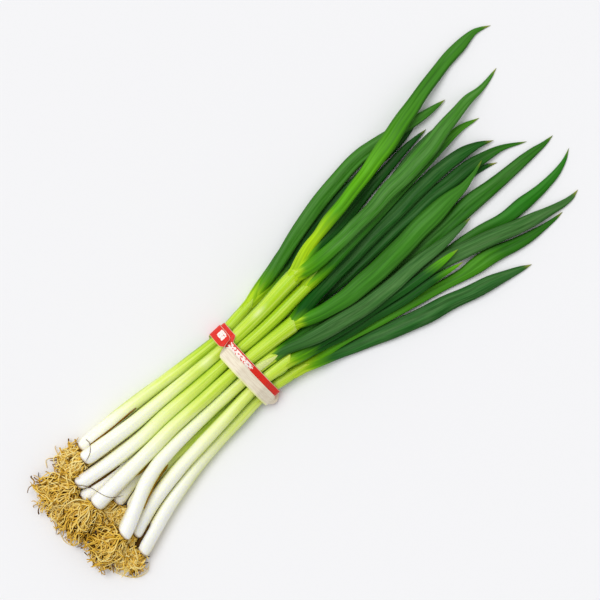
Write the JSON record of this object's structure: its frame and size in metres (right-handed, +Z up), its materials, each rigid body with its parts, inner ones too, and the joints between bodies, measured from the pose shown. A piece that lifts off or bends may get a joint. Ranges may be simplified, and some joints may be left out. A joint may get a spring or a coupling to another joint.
{
  "type": "spring onion bunch",
  "caption": "Fresh spring onions with white shafts, hollow green leaves and bearded roots, bunched by a doubled flat rubber band and lying on a surface.",
  "frame": {"origin": "on the surface that the bunch lies on, under the middle of the rubber band", "axes": "+X along the bunch from the roots to the leaf tips, +Z up, +Y to the left of +X seen from above"},
  "size_m": [0.4299, 0.1385, 0.026],
  "materials": {
    "shaft": "moist satin plant skin, white at the root end and pale to bright green at the collar",
    "leaf": "satin leaf skin with a thin waxy bloom and fine lengthwise veins",
    "root": "dry matt fibres, golden tan",
    "band": "matt flat rubber, printed red with a plain white stripe outside and cream inside"
  },
  "bodies": {
    "root": {"shaft_01": "shaft", "shaft_02": "shaft", "shaft_03": "shaft", "shaft_04": "shaft", "shaft_05": "shaft", "shaft_06": "shaft", "shaft_07": "shaft", "shaft_08": "shaft", "shaft_09": "shaft", "shaft_10": "shaft", "leaves_01": "leaf", "leaves_02": "leaf", "leaves_03": "leaf", "leaves_04": "leaf", "leaves_05": "leaf", "leaves_06": "leaf", "leaves_07": "leaf", "leaves_08": "leaf", "leaves_09": "leaf", "leaves_10": "leaf", "roots_01": "root", "roots_02": "root", "roots_03": "root", "roots_04": "root", "roots_05": "root", "roots_06": "root", "roots_07": "root", "roots_08": "root", "roots_09": "root", "roots_10": "root", "rubber_band": "band"}
  },
  "joints": []
}
